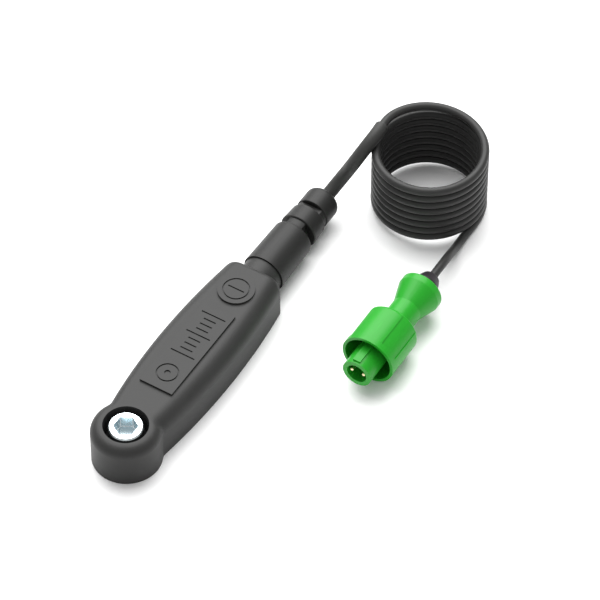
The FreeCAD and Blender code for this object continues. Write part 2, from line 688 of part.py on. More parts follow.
# ----------------------------------------------------------- free cable ----
def cable_lead_and_sleeve():
    """The free lead, and the thick sleeve over its first stretch."""
    edges, radii = run_and_arc_path(LEAD_ROUTE)
    print("lead arc radii", [round(r, 1) for r in radii])
    lead = shaped("cable_lead", swept(edges, size(CABLE)))
    start = Vec(size(SLEEVE_START), 0, LEAD_ROUTE[0].z)
    rim = LEAD_ROUTE[-2] + (LEAD_ROUTE[-1] - LEAD_ROUTE[-2]) * SLEEVE_SHARE
    covered = [Part.LineSegment(start, edges[0].Vertexes[-1].Point).toShape(), *edges[1:-1],
               Part.LineSegment(edges[-1].Vertexes[0].Point, rim).toShape()]
    outer = swept(covered, size("dims.sleeve_diameter / 2"))
    inner = swept(covered, size(f"{CABLE} + dims.sleeve_clearance"))
    sleeve = shaped("cable_sleeve", outer.cut(inner))
    return lead, sleeve


def cable_coil():
    """The outer shape of the wound turns: an upright ring on the floor."""
    height = "dims.coil_turns * dims.coil_pitch + dims.cable_diameter"
    ring = tube("cable_coil", f"dims.coil_radius + {CABLE}", f"dims.coil_radius - {CABLE}",
                "0", height, axis="Z")
    return move(ring, "dims.coil_x", "dims.coil_y")


def cable_tail():
    edges, radii = run_and_arc_path(TAIL_ROUTE)
    print("tail arc radii", [round(r, 1) for r in radii])
    return shaped("cable_tail", swept(edges, size(CABLE)))


# ----------------------------------------------------------------- plug ----
PLUG_Y = "dims.plug_y"
PLUG_Z = "dims.ring_radius"
NOSE_END = "dims.nose_x + dims.nose_length"
RING_END = "dims.ring_x + dims.ring_length"
RING_INSIDE = "dims.ring_radius - dims.ring_wall"
PIN_START = "dims.nose_x + dims.pin_setback"
TAIL_END = TAIL_ROUTE[-1].x
PANEL_START = 84.6
PLUG_CABLE_START = "dims.flare_start + 1.4"


def plug_insulator():
    """Nose that holds the pins, with a recess in front and a key along its top."""
    body = turned("nose_body", [
        ("dims.nose_x", "dims.recess_radius"), ("dims.nose_x", "dims.nose_radius"),
        (NOSE_END, "dims.nose_radius"), (NOSE_END, "0"),
        ("dims.nose_x + dims.recess_depth", "0"),
        ("dims.nose_x + dims.recess_depth", "dims.recess_radius"),
    ], y=PLUG_Y, z=PLUG_Z)
    half = "dims.key_width / 2"
    key = block("nose_key", "dims.nose_x + dims.key_setback", NOSE_END,
                f"{PLUG_Y} + dims.key_shift - {half}", f"{PLUG_Y} + dims.key_shift + {half}",
                f"{PLUG_Z} + dims.nose_radius - 0.9",
                f"{PLUG_Z} + dims.nose_radius + dims.key_height")
    holes = []
    for number, sign in ((1, "+"), (2, "-")):
        holes.append(cylinder(f"pin_hole_{number}", "dims.pin_shank + 0.02",
                              "dims.nose_length + 2", "dims.nose_x + 1",
                              f"{PLUG_Y} {sign} dims.pin_spacing / 2", PLUG_Z, "X"))
    return cut("plug_insulator", fuse("nose_with_key", body, key), *holes)


def contact_pin(number, sign):
    body = turned(f"contact_pin_{number}", [
        (PIN_START, "0"), (PIN_START, "dims.pin_radius"),
        ("dims.nose_x + dims.recess_depth", "dims.pin_radius"),
        ("dims.nose_x + dims.recess_depth", "dims.pin_shank"),
        (f"{PIN_START} + dims.pin_length", "dims.pin_shank"),
        (f"{PIN_START} + dims.pin_length", "0"),
    ], y=f"{PLUG_Y} {sign} dims.pin_spacing / 2", z=PLUG_Z)
    return soften(body, ring_at(size(PIN_START), size("dims.pin_radius")),
                  "dims.pin_radius * 0.8")


def coupling_ring():
    """Coupling sleeve, open in front, that turns behind the nose."""
    hole = "dims.neck_radius + dims.ring_clearance"
    body = turned("ring_body", [
        ("dims.ring_x", RING_INSIDE), ("dims.ring_x", "dims.ring_radius"),
        (RING_END, "dims.ring_radius"), (RING_END, hole),
        (f"{RING_END} - dims.ring_back", hole),
        (f"{RING_END} - dims.ring_back", RING_INSIDE),
    ], y=PLUG_Y, z=PLUG_Z)
    soften(body, ring_at(size(RING_END), size("dims.ring_radius")), "dims.ring_edge")
    panels = [grip_panel(number) for number in range(3)]
    return cut("coupling_ring", body, *panels)


def grip_panel(number):
    """Shallow recess sunk in a sector of the coupling ring, open at its back."""
    start, end = "dims.ring_x + dims.panel_margin", f"{RING_END} + 1"
    length = f"({end}) - ({start})"
    sector = cylinder(f"panel_{number}_sector", "dims.ring_radius + 1", length,
                      start, PLUG_Y, PLUG_Z, "X")
    sector.setExpression("Angle", "dims.panel_angle")
    turn = FreeCAD.Rotation(Vec(1, 0, 0), PANEL_START + 120 * number)
    sector.Placement.Rotation = turn * AXES["X"]
    keep = cylinder(f"panel_{number}_keep", "dims.ring_radius - dims.panel_depth",
                    f"{length} + 2", f"{start} - 1", PLUG_Y, PLUG_Z, "X")
    return cut(f"panel_{number}", sector, keep)


def plug_shell():
    """Neck and trumpet-shaped grip, bored through for the cable."""
    grommet_seat = "dims.flare_end - dims.grommet_depth"
    return soften(turned("plug_shell", [
        (NOSE_END, "dims.neck_bore"), (NOSE_END, "dims.neck_radius"),
        ("dims.flare_start", "dims.neck_radius"),
        ("dims.flare_end - dims.flare_rim", "dims.flare_radius"),
        ("dims.flare_end", "dims.flare_radius"), ("dims.flare_end", "dims.grommet_radius"),
        (grommet_seat, "dims.grommet_radius"),
        (grommet_seat, "dims.neck_bore - dims.crimp_wall"),
        ("dims.flare_start", "dims.neck_bore - dims.crimp_wall"),
        ("dims.flare_start", "dims.neck_bore"),
    ], y=PLUG_Y, z=PLUG_Z),
        ring_at(size("dims.flare_end"), size("dims.flare_radius")), "dims.flare_edge")


def ring_retainer():
    """Clip on the neck that keeps the coupling ring from sliding forward."""
    end = f"{RING_END} - dims.ring_back - dims.ring_clearance"
    return tube("ring_retainer", f"{RING_INSIDE} - dims.clip_play", "dims.neck_radius",
                f"{end} - dims.clip_width", end, PLUG_Y, PLUG_Z)


def plug_seal():
    start = f"{NOSE_END} - dims.key_height - dims.gasket_width"
    return tube("plug_seal", f"{RING_INSIDE} - dims.gasket_play",
                "dims.nose_radius + dims.key_height + dims.key_room + dims.fit_gap", start,
                f"{start} + dims.gasket_width", PLUG_Y, PLUG_Z)


def plug_grommet():
    """Rubber grommet that closes the back of the grip round the cable."""
    end = "dims.flare_end + dims.grommet_proud"
    start = "dims.flare_end - dims.grommet_depth"
    shoulder = "dims.flare_end + dims.grommet_shoulder"
    body = turned("plug_grommet", [
        (start, CABLE), (start, "dims.grommet_radius"), (shoulder, "dims.grommet_radius"),
        (end, "dims.grommet_end_radius"), (end, CABLE),
    ], y=PLUG_Y, z=PLUG_Z)
    soften(body, ring_at(size(shoulder), size("dims.grommet_radius")), "dims.grommet_round")
    return soften(body, ring_at(size(end), size("dims.grommet_end_radius")),
                  "dims.grommet_round")


def plug_conductors():
    """The two conductors from the cable's end to the pins."""
    rear = size(f"{PIN_START} + dims.pin_length")
    cable_end = size(PLUG_CABLE_START)
    centre, height = size(PLUG_Y), size(PLUG_Z)
    wires = []
    for sign in (1, -1):
        here = Vec(cable_end, centre + sign * WIRE_SPLIT, height)
        bend = Vec((cable_end + rear) / 2, centre + sign * 1.0, height)
        there = Vec(rear, centre + sign * size("dims.pin_spacing / 2"), height)
        edges, _ = run_and_arc_path([here, bend, there])
        wires.append(swept(edges, size("dims.conductor_radius")))
    return shaped("plug_conductors", Part.makeCompound(wires))


def plug_cable():
    """The last stretch of the cable inside the grip."""
    return cylinder("plug_cable", CABLE, f"{TAIL_END} - ({PLUG_CABLE_START})",
                    PLUG_CABLE_START, PLUG_Y, PLUG_Z, "X")


# ------------------------------------------------------------- assembly ----
def all_pieces():
    pieces = [upper_housing(), base_cover(), cover_seal(), compression_bush(), washer(),
              sleeve_nut(), circuit_board(), *sensing_element(), amplifier_chip(),
              surface_components(), filter_capacitor(), potting_fill(), inner_cable(),
              crimp_band("housing_crimp", f"{CAVITY_END} - dims.crimp_length - 0.2", "0", AXIS),
              board_wire("signal_wire", 1), board_wire("ground_wire", -1), spigot_seal(),
              strain_relief_boot(), *cable_lead_and_sleeve(), cable_coil(), cable_tail(),
              plug_grommet(), plug_shell(), plug_insulator(), contact_pin(1, "+"),
              contact_pin(2, "-"), coupling_ring(), ring_retainer(), plug_seal(),
              plug_conductors(), plug_cable(),
              crimp_band("plug_crimp", f"{PLUG_CABLE_START} + 0.4", PLUG_Y, PLUG_Z)]
    return pieces


pieces = all_pieces()
doc.recompute()
for item in doc.Objects:
    if "Invalid" in item.State or "Error" in item.State:
        raise RuntimeError(f"{item.Name} did not compute: {item.State}")
os.makedirs("parts", exist_ok=True)
for piece in pieces:
    piece.Label = piece.Name
    if piece.Shape.isNull() or not piece.Shape.isValid():
        raise RuntimeError(f"{piece.Label} has no valid shape")
    piece.Shape.exportStep(f"parts/{piece.Label}.step")
    box = piece.Shape.BoundBox
    print(f"{piece.Label:22s} solids {len(piece.Shape.Solids)} volume {piece.Shape.Volume:9.1f} "
          f"z {box.ZMin:6.2f} to {box.ZMax:6.2f} x {box.XMin:7.2f} to {box.XMax:7.2f}")
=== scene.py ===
"""Looks for a bolt-on sensor probe with a coiled lead and a green plug.

Every piece is in metres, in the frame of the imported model: the origin is on the
axis of the mounting eye, +X runs towards the cable outlet, and the base stands
on the plane Z = 0.
"""
import math

import bmesh
import bpy
from bpy.props import FloatProperty, FloatVectorProperty, IntProperty, PointerProperty
from mathutils import Matrix, Vector


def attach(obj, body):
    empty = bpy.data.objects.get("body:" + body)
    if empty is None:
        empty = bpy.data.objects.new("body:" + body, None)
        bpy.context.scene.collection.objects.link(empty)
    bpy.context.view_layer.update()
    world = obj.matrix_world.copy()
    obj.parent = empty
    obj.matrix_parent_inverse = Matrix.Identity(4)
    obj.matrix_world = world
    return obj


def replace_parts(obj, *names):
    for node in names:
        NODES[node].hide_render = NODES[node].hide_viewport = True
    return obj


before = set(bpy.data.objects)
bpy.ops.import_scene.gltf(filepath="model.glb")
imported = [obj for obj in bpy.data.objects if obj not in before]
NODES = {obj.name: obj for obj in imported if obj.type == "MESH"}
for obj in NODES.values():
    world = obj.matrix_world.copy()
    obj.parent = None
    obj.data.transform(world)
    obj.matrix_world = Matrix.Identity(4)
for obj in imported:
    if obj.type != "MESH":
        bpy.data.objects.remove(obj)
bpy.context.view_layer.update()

bl_info = {
    "name": "Cabled Sensor Probe",
    "version": (1, 0, 0),
    "blender": (4, 5, 0),
    "location": "View3D > Sidebar > Probe",
    "description": "Builds the looks of a bolt-on sensor probe, its coiled lead and its plug",
    "category": "Object",
}

MM = 0.001

# The end of the sleeve inside the boot.
SLEEVE_START_X = 0.0842

# Control points of the free cable in millimetres: from the boot up to the top
# turn of the coil, and from the bottom turn to the plug.
LEAD_ROUTE = [
    (99.3, 0.0, 6.62), (103.14, 0.0, 6.62), (107.33, -0.63, 7.99), (110.43, -1.86, 10.64),
    (112.13, -3.52, 14.19), (112.26, -5.68, 19.01), (115.21, -7.67, 23.7),
    (120.42, -8.73, 26.2), (126.39, -8.1, 26.01),
]
TAIL_ROUTE = [
    (118.4, -39.6, 1.3), (112.0, -40.2, 2.4), (105.7, -41.7, 6.3),
    (99.5, -42.5, 8.2), (92.5, -42.5, 8.2),
]


# ---------------------------------------------------------------- settings ----
def colour(name, description, value):
    return FloatVectorProperty(name=name, description=description, subtype="COLOR",
                               size=3, min=0.0, max=1.0, default=value)


def length(name, description, value):
    return FloatProperty(name=name, description=description, subtype="DISTANCE",
                         unit="LENGTH", precision=5, min=0.0, default=value)


class ProbeColours(bpy.types.PropertyGroup):
    housing: colour("Housing", "Moulded plastic of the shell", (0.0230, 0.0230, 0.0225))
    boot: colour("Boot", "Rubber of the boot and the seals", (0.0155, 0.0155, 0.0150))
    sleeve: colour("Sleeve", "Sleeve on the first stretch of cable", (0.0300, 0.0300, 0.0290))
    jacket: colour("Cable jacket", "Outside of the cable", (0.0225, 0.0225, 0.0220))
    plug: colour("Plug", "Shell, nose and coupling ring", (0.0130, 0.270, 0.0145))
    grommet: colour("Grommet", "Rubber behind the plug", (0.0110, 0.0085, 0.0110))
    steel: colour("Steel", "Nut and bush", (0.86, 0.93, 0.95))
    # Socket: darker bluish tint painted inside the nut's hexagon socket as its shade.
    socket: colour("Socket", "Steel in the hexagon socket", (0.66, 0.76, 0.80))
    # Washer: near-black, painted shade that stands in for the dark gap round the nut's head.
    washer: colour("Washer", "Blackened steel", (0.014, 0.014, 0.015))
    gold: colour("Gold", "Contact pins", (0.98, 0.86, 0.52))


class ProbeCable(bpy.types.PropertyGroup):
    diameter: length("Cable diameter", "Outside of the jacket", 0.0026)
    sleeve_diameter: length("Sleeve diameter", "Sleeve on the first stretch", 0.0041)
    sleeve_length: length("Sleeve length", "Along the cable from the route's start", 0.0359)
    coil_x: length("Coil centre X", "Middle of the coil", 0.12488)
    coil_y: FloatProperty(name="Coil centre Y", description="Middle of the coil",
                          subtype="DISTANCE", unit="LENGTH", precision=5, default=-0.02377)
    coil_radius: length("Coil radius", "To the middle of the cable", 0.01578)
    coil_top: length("Coil top", "Height of the top turn's middle", 0.02425)
    coil_pitch: length("Coil pitch", "Height from turn to turn", 0.0027)
    flare: FloatProperty(name="Flare", description="How much wider the first turn starts",
                         subtype="DISTANCE", unit="LENGTH", precision=5, default=-0.00018)
    lift: length("Lift", "How much higher the first turn starts", 0.00192)
    turns: FloatProperty(name="Turns", description="Turns in the coil", default=8.5, min=1.0)
    start_angle: FloatProperty(name="Start angle", description="Where the lead joins the coil",
                               subtype="ANGLE", unit="ROTATION", default=math.radians(20.5))
    flare_angle: FloatProperty(name="Flare angle", description="Turn over which the flare ends",
                               subtype="ANGLE", unit="ROTATION", default=math.radians(170))
    points_per_turn: IntProperty(name="Points per turn", default=24, min=12,
                                 description="Control points in each turn of the coil")


class ProbeStage(bpy.types.PropertyGroup):
    floor: colour("Floor", "Plain pale floor", (0.94, 0.94, 0.94))
    elevation: FloatProperty(name="Elevation", description="Camera above the floor",
                             subtype="ANGLE", unit="ROTATION", default=math.radians(49.692))
    heading: FloatProperty(name="Heading", description="Turn of the probe in the view",
                           subtype="ANGLE", unit="ROTATION", default=math.radians(58.405))
    distance: length("Distance", "Camera to the point it looks at", 1.15178)
    lens: FloatProperty(name="Lens", description="Focal length in millimetres",
                        subtype="DISTANCE_CAMERA", default=240.73, min=1.0)
    key_power: FloatProperty(name="Key", description="Power of the overhead softbox in watts",
                             subtype="POWER", default=31.0, min=0.0)
    fill_power: FloatProperty(name="Fill", description="Power of the side softbox in watts",
                              subtype="POWER", default=0.3, min=0.0)
    sky: FloatProperty(name="Sky", description="Strength of the even light all round",
                       default=0.58, min=0.0)


# ----------------------------------------------------------- node tree tools ----
def link(tree, source, target):
    tree.links.new(source, target)


def add(tree, kind, **settings):
    node = tree.nodes.new(kind)
    for name, value in settings.items():
        setattr(node, name, value)
    return node


def math_node(tree, operation, first, second=None, third=None):
    """A Math node whose inputs are sockets or numbers; gives its output."""
    node = add(tree, "ShaderNodeMath", operation=operation)
    for index, value in enumerate((first, second, third)):
        if value is None:
            continue
        if isinstance(value, (int, float)):
            node.inputs[index].default_value = value
        else:
            link(tree, value, node.inputs[index])
    return node.outputs[0]


def blend_node(tree, factor, first, second):
    """A colour Mix node; gives its output."""
    node = add(tree, "ShaderNodeMix", data_type="RGBA")
    for name, value in ((0, factor), (6, first), (7, second)):
        if isinstance(value, bpy.types.NodeSocket):
            link(tree, value, node.inputs[name])
        else:
            node.inputs[name].default_value = value
    return node.outputs[2]


def weighted(tree, first, second, share):
    """The sum of two values, of which the first has the given share."""
    rest = math_node(tree, "MULTIPLY", second, 1.0 - share)
    return math_node(tree, "MULTIPLY_ADD", first, share, rest)


def place_of(tree):
    """The point on the object, in metres."""
    return add(tree, "ShaderNodeTexCoord").outputs["Object"]


def about_z(tree, place):
    """Separate X, Y and Z outputs of a place, and its distance from the Z axis."""
    split = add(tree, "ShaderNodeSeparateXYZ")
    link(tree, place, split.inputs[0])
    axes = split.outputs
    across = math_node(tree, "MULTIPLY", axes["X"], axes["X"])
    squared = math_node(tree, "MULTIPLY_ADD", axes["Y"], axes["Y"], across)
    return axes, math_node(tree, "SQRT", squared)


def ramp(tree, value, low, high):
    """Maps a value from low..high to 0..1, smoothly and clamped."""
    node = add(tree, "ShaderNodeMapRange", interpolation_type="SMOOTHSTEP")
    link(tree, value, node.inputs["Value"])
    node.inputs["From Min"].default_value = low
    node.inputs["From Max"].default_value = high
    return node.outputs["Result"]


def noise(tree, vector, scale, detail=2.0, roughness=0.5, dimensions="3D"):
    """A Noise texture over a vector, or over one value in 1D; gives its output."""
    node = add(tree, "ShaderNodeTexNoise", noise_dimensions=dimensions)
    link(tree, vector, node.inputs["W" if dimensions == "1D" else "Vector"])
    if isinstance(scale, bpy.types.NodeSocket):
        link(tree, scale, node.inputs["Scale"])
    else:
        node.inputs["Scale"].default_value = scale
    node.inputs["Detail"].default_value = detail
    node.inputs["Roughness"].default_value = roughness
    return node.outputs["Fac"]


SOCKETS = {"colour": "NodeSocketColor", "number": "NodeSocketFloat"}


def new_group(name, inputs, outputs):
    """A shader node group with named sockets: (tree, input node, output node)."""
    tree = bpy.data.node_groups.new(name, "ShaderNodeTree")
    for label, kind, value in inputs:
        socket = tree.interface.new_socket(label, in_out="INPUT", socket_type=SOCKETS[kind])
        socket.default_value = value
    for label, kind in outputs:
        tree.interface.new_socket(label, in_out="OUTPUT", socket_type=SOCKETS[kind])
    return tree, add(tree, "NodeGroupInput"), add(tree, "NodeGroupOutput")


def moulded_grain(name):
    """Fine stipple of a spark-eroded mould, with slow drifts in tone and gloss."""
    tree, given, result = new_group(
        name,
        [("Color", "colour", (0.05, 0.05, 0.05, 1)),
         ("Light Color", "colour", (0.08, 0.08, 0.08, 1)),
         ("Roughness", "number", 0.5), ("Gloss Drift", "number", 0.05),
         ("Grain Size", "number", 0.0002)],
        [("Color", "colour"), ("Roughness", "number"), ("Height", "number")])
    drift_scale, speck_share, stipple_share = 60.0, 0.45, 0.7
    place = place_of(tree)
    scale = math_node(tree, "DIVIDE", 1.0, given.outputs["Grain Size"])
    cells = add(tree, "ShaderNodeTexVoronoi", feature="SMOOTH_F1")
    link(tree, place, cells.inputs["Vector"])
    link(tree, scale, cells.inputs["Scale"])
    speck = noise(tree, place, scale, detail=3.0, roughness=0.6)
    drift = noise(tree, place, drift_scale)
    tone = ramp(tree, weighted(tree, speck, drift, speck_share), 0.25, 0.85)
    link(tree, blend_node(tree, tone, given.outputs["Color"], given.outputs["Light Color"]),
         result.inputs["Color"])
    swing = math_node(tree, "SUBTRACT", drift, 0.5)
    link(tree, math_node(tree, "MULTIPLY_ADD", swing, given.outputs["Gloss Drift"],
                         given.outputs["Roughness"]), result.inputs["Roughness"])
    link(tree, weighted(tree, cells.outputs["Distance"], speck, stipple_share),
         result.inputs["Height"])
    return tree


def turned_metal(name):
    """Tool marks round the Z axis, as a lathe leaves them on steel."""
    tree, given, result = new_group(
        name,
        [("Color", "colour", (0.7, 0.7, 0.7, 1)), ("Groove Color", "colour", (0.5, 0.5, 0.5, 1)),
         ("Roughness", "number", 0.25), ("Mark Spacing", "number", 0.0001)],
        [("Color", "colour"), ("Roughness", "number"), ("Height", "number")])
    feed, stain_scale, dulling = 0.7, 400.0, 0.16
    place = place_of(tree)
    axes, radius = about_z(tree, place)
    run = math_node(tree, "ADD", radius, math_node(tree, "MULTIPLY", axes["Z"], feed))
    scale = math_node(tree, "DIVIDE", 1.0, given.outputs["Mark Spacing"])
    marks = noise(tree, run, scale, roughness=0.6, dimensions="1D")
    stain = noise(tree, place, stain_scale, detail=3.0, roughness=0.6)
    mask = ramp(tree, weighted(tree, marks, stain, 0.5), 0.35, 0.7)
    link(tree, blend_node(tree, mask, given.outputs["Groove Color"], given.outputs["Color"]),
         result.inputs["Color"])
    rough = math_node(tree, "MULTIPLY_ADD", stain, dulling, given.outputs["Roughness"])
    link(tree, math_node(tree, "SUBTRACT", rough, dulling / 2), result.inputs["Roughness"])
    link(tree, marks, result.inputs["Height"])
    return tree


def socket_shade_and_highlight_masks(name):
    """Masks of a hexagon socket sunk along Z: its inside for painted shade, its edges for painted
    highlights.
    """
    tree, given, result = new_group(
        name, [("Top", "number", 0.0132), ("Depth", "number", 0.0041),
               ("Half Flats", "number", 0.0031), ("Edge", "number", 0.00016)],
        [("Mask", "number"), ("Edges", "number")])
    rim, slack, half_side = 0.00006, 0.00004, math.pi / 6
    edge = given.outputs["Edge"]
    axes, radius = about_z(tree, place_of(tree))
    azimuth = math_node(tree, "ARCTAN2", axes["Y"], axes["X"])
    from_corner = math_node(tree, "PINGPONG", azimuth, half_side)
    lean = math_node(tree, "COSINE", math_node(tree, "SUBTRACT", half_side, from_corner))
    to_wall = math_node(tree, "SUBTRACT", given.outputs["Half Flats"],
                        math_node(tree, "MULTIPLY", radius, lean))
    sunk = math_node(tree, "SUBTRACT", given.outputs["Top"], axes["Z"])
    inside = math_node(tree, "MULTIPLY", math_node(tree, "GREATER_THAN", sunk, rim),
                       math_node(tree, "GREATER_THAN", to_wall, -slack))
    aside = math_node(tree, "MULTIPLY", radius, math_node(tree, "SINE", from_corner))
    above_floor = math_node(tree, "SUBTRACT", given.outputs["Depth"], sunk)
    at_wall, at_corner, at_floor = (math_node(tree, "LESS_THAN", distance, edge)
                                    for distance in (to_wall, aside, above_floor))
    edges = math_node(tree, "MULTIPLY", at_wall,
                      math_node(tree, "MAXIMUM", at_corner, at_floor))
    link(tree, inside, result.inputs["Mask"])
    link(tree, math_node(tree, "MULTIPLY", inside, edges), result.inputs["Edges"])
    return tree


def light_scratches(name):
    """Mask of a few short hairline scratches from handling."""
    tree, given, result = new_group(
        name, [("Amount", "number", 0.5), ("Size", "number", 0.004)], [("Mask", "number")])
    scale = math_node(tree, "DIVIDE", 1.0, given.outputs["Size"])
    place = place_of(tree)
    masks = []
    for turn, stretch in ((0.6, 26.0), (2.1, 31.0)):
        aim = add(tree, "ShaderNodeMapping")
        aim.inputs["Rotation"].default_value = (0.3, turn * 0.4, turn)
        aim.inputs["Scale"].default_value = (1.0, stretch, stretch * 0.6)
        link(tree, place, aim.inputs["Vector"])
        hairs = noise(tree, aim.outputs[0], scale, detail=1.0)
        masks.append(ramp(tree, hairs, 0.69, 0.74))
    both = math_node(tree, "MAXIMUM", *masks)
    link(tree, math_node(tree, "MULTIPLY", both, given.outputs["Amount"]), result.inputs["Mask"])
    return tree


# --------------------------------------------------------------- materials ----
# Scratches: how much lighter and rougher. Edges in a socket: how much rougher.
# Grooves: how much darker. Depths of the grain and of the tool marks, as shares
# of their own width.
SCRATCH_GAIN, SCRATCH_DULLING, EDGE_DULLING = 2.2, 0.2, 0.5
GROOVE_GAIN, GRAIN_DEPTH, MARK_DEPTH = 0.82, 0.25, 0.2


def shade(values, gain):
    """A colour made lighter or darker."""
    return tuple(min(1.0, value * gain) for value in values)


def rgba(values, gain=1.0):
    return (*shade(values, gain), 1.0)


def shader(name, **constants):
    """A material with a Principled shader: (material, tree, shader node)."""
    material = bpy.data.materials.new(name)
    material.use_nodes = True
    tree = material.node_tree
    principled = tree.nodes["Principled BSDF"]
    for label, value in constants.items():
        principled.inputs[label.replace("_", " ")].default_value = value
    return material, tree, principled


def effect(tree, name, build, **values):
    """Outputs of a shared node group, placed in a material with its own values."""
    shared = bpy.data.node_groups.get(name) or build(name)
    placed = add(tree, "ShaderNodeGroup", node_tree=shared)
    for label, value in values.items():
        placed.inputs[label.replace("_", " ")].default_value = value
    return placed.outputs


def bump_into(tree, principled, height, strength, distance):
    bump = add(tree, "ShaderNodeBump")
    bump.inputs["Strength"].default_value = strength
    bump.inputs["Distance"].default_value = distance
    link(tree, height, bump.inputs["Height"])
    link(tree, bump.outputs["Normal"], principled.inputs["Normal"])


def moulded(name, base, roughness, grain=0.0002, relief=0.25, drift=0.08, gain=1.35,
            scratches=0.0, **constants):
    """Moulded plastic or rubber with a fine grain, and scratches if asked for."""
    constants.setdefault("Specular_IOR_Level", 0.23)
    material, tree, principled = shader(name, **constants)
    grainy = effect(tree, "Moulded Grain", moulded_grain, Color=rgba(base),
                    Light_Color=rgba(base, gain), Roughness=roughness, Gloss_Drift=drift,
                    Grain_Size=grain)
    tint, rough = grainy["Color"], grainy["Roughness"]
    if scratches:
        worn = effect(tree, "Light Scratches", light_scratches, Amount=scratches)
        tint = blend_node(tree, worn["Mask"], tint, rgba(base, SCRATCH_GAIN))
        rough = math_node(tree, "MULTIPLY_ADD", worn["Mask"], SCRATCH_DULLING, rough)
    link(tree, tint, principled.inputs["Base Color"])
    link(tree, rough, principled.inputs["Roughness"])
    bump_into(tree, principled, grainy["Height"], relief, grain * GRAIN_DEPTH)
    return material


def turned(name, base, roughness, spacing=0.00012, relief=0.15, socket=None):
    """Lathe-turned plated metal; with a socket colour, painted shade inside the hexagon socket
    and painted white highlights on its edges.
    """
    material, tree, principled = shader(name, Metallic=1.0)
    marks = effect(tree, "Turned Metal", turned_metal, Color=rgba(base),
                   Groove_Color=rgba(base, GROOVE_GAIN), Roughness=roughness,
                   Mark_Spacing=spacing)
    tint, rough = marks["Color"], marks["Roughness"]
    if socket:
        masks = effect(tree, "Socket Shade And Highlight Masks", socket_shade_and_highlight_masks)
        # Painted shade: the inside of the socket takes the darker socket colour.
        tint = blend_node(tree, masks["Mask"], tint, rgba(socket))
        # Painted highlights: the edges in the socket are painted white.
        tint = blend_node(tree, masks["Edges"], tint, (1.0, 1.0, 1.0, 1.0))
        rough = math_node(tree, "MULTIPLY_ADD", masks["Edges"], EDGE_DULLING, rough)
    link(tree, tint, principled.inputs["Base Color"])
    link(tree, rough, principled.inputs["Roughness"])
    bump_into(tree, principled, marks["Height"], relief, spacing * MARK_DEPTH)
    return material


def paint(node, material):
    """Gives a CAD node its material, in every slot."""
    slots = NODES[node].data.materials
    slots.clear()
    slots.append(material)


# ------------------------------------------------------------- mesh helpers ----
def new_object(name, data, body, material):
    """An object that rides on a body and takes its finish from a material slot."""
    item = bpy.data.objects.new(name, data)
    bpy.context.scene.collection.objects.link(item)
    data.materials.append(material)
    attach(item, body)
    return item


def smooth(mesh):
    for polygon in mesh.polygons:
        polygon.use_smooth = True


def line_points(curve_object):
    """Points along a curve object's own line, in order."""
    line = curve_object.data.copy()
    line.bevel_depth = 0.0
    probe = bpy.data.objects.new("route_line", line)
    mesh = bpy.data.meshes.new_from_object(probe)
    points = [vertex.co.copy() for vertex in mesh.vertices]
    bpy.data.objects.remove(probe)
    bpy.data.meshes.remove(mesh)
    bpy.data.curves.remove(line)
    return points


def cut_to_length(points, limit):
    """The first stretch of a line, up to a length along it."""
    kept, travelled = [points[0]], 0.0
    for before, after in zip(points, points[1:]):
        step = (after - before).length
        if travelled + step >= limit:
            kept.append(before.lerp(after, (limit - travelled) / step))
            return kept
        travelled += step
        kept.append(after)
    return kept


def tube_mesh(name, points, profile, sides=32):
    """A tube along points. The profile gives (ring index, shift along, radius)."""
    tangents = []
    for index in range(len(points)):
        before, after = points[max(index - 1, 0)], points[min(index + 1, len(points) - 1)]
        tangents.append((after - before).normalized())
    side = tangents[0].orthogonal().normalized()
    frames = []
    for tangent in tangents:
        side = (side - tangent * side.dot(tangent)).normalized()
        frames.append((tangent, side, tangent.cross(side)))
    shape = bmesh.new()
    rings = []
    for index, shift, radius in profile:
        tangent, right, up = frames[index]
        centre = points[index] + tangent * shift
        ring = []
        for number in range(sides):
            angle = 2 * math.pi * number / sides
            spot = centre + (right * math.cos(angle) + up * math.sin(angle)) * radius
            ring.append(shape.verts.new(spot))
        rings.append(ring)
    for first, second in zip(rings, rings[1:]):
        for number in range(sides):
            following = (number + 1) % sides
            shape.faces.new((first[number], first[following], second[following],
                             second[number]))
    for number in range(sides):
        following = (number + 1) % sides
        shape.faces.new((rings[-1][number], rings[-1][following], rings[0][following],
                         rings[0][number]))
    bmesh.ops.recalc_face_normals(shape, faces=shape.faces)
    mesh = bpy.data.meshes.new(name)
    shape.to_mesh(mesh)
    shape.free()
    smooth(mesh)
    return mesh


# --------------------------------------------------------------- operators ----
class ProbeOperator:
    """What every operator of the probe has in common."""
    bl_options = {"REGISTER", "UNDO"}


